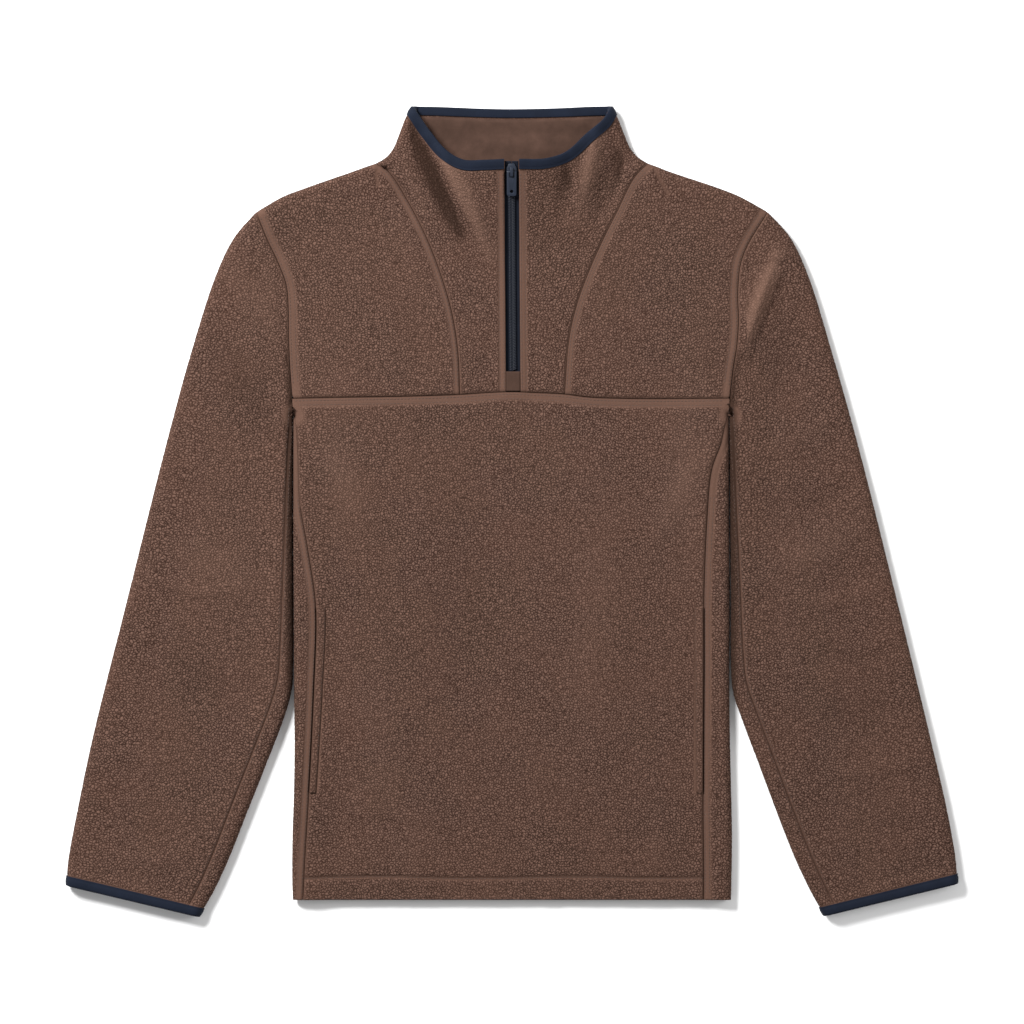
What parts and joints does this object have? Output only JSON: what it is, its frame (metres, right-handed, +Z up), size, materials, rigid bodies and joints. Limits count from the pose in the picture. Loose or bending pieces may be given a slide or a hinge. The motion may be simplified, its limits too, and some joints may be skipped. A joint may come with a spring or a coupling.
{
  "type": "sherpa fleece pullover",
  "caption": "Quarter-zip pullover of thick sherpa fleece, laid flat front up, with a stand collar, yoke seam, side pockets and navy bound collar and cuffs",
  "frame": {"origin": "centre of the garment's footprint, on the surface that it lies on", "axes": "+X to the right as seen from above, along the span of the sleeves; +Y towards the collar; +Z up, out of the front"},
  "size_m": [0.8398, 0.764, 0.0333],
  "materials": {
    "sherpa_fleece": "pebbly brushed pile",
    "smooth_facing": "smooth knit back",
    "navy_binding": "fine woven tape",
    "zip_coil": "moulded coil",
    "zip_metal": "satin navy enamel"
  },
  "bodies": {
    "garment": {"front_body": "sherpa_fleece", "front_yoke_left": "sherpa_fleece", "front_yoke_right": "sherpa_fleece", "front_centre_left": "sherpa_fleece", "front_centre_right": "sherpa_fleece", "zip_stop_patch": "smooth_facing", "back_body": "sherpa_fleece", "collar_back": "sherpa_fleece", "collar_facing": "smooth_facing", "side_panel_left": "sherpa_fleece", "side_panel_right": "sherpa_fleece", "sleeve_left": "sherpa_fleece", "sleeve_right": "sherpa_fleece", "collar_binding": "navy_binding", "cuff_binding_left": "navy_binding", "cuff_binding_right": "navy_binding", "zip_tape_left": "navy_binding", "zip_tape_right": "navy_binding", "zip_coil": "zip_coil", "zip_slider": "zip_metal", "pocket_welt_left": "smooth_facing", "pocket_welt_right": "smooth_facing"},
    "pull": {"zip_pull": "zip_metal"}
  },
  "joints": [
    {"name": "pull_hinge", "type": "hinge", "parent": "garment", "child": "pull", "pos_m": [-0.00038, 0.31825, 0.02951], "axis": [-1, 0, 0], "range_deg": [0, 170]}
  ]
}
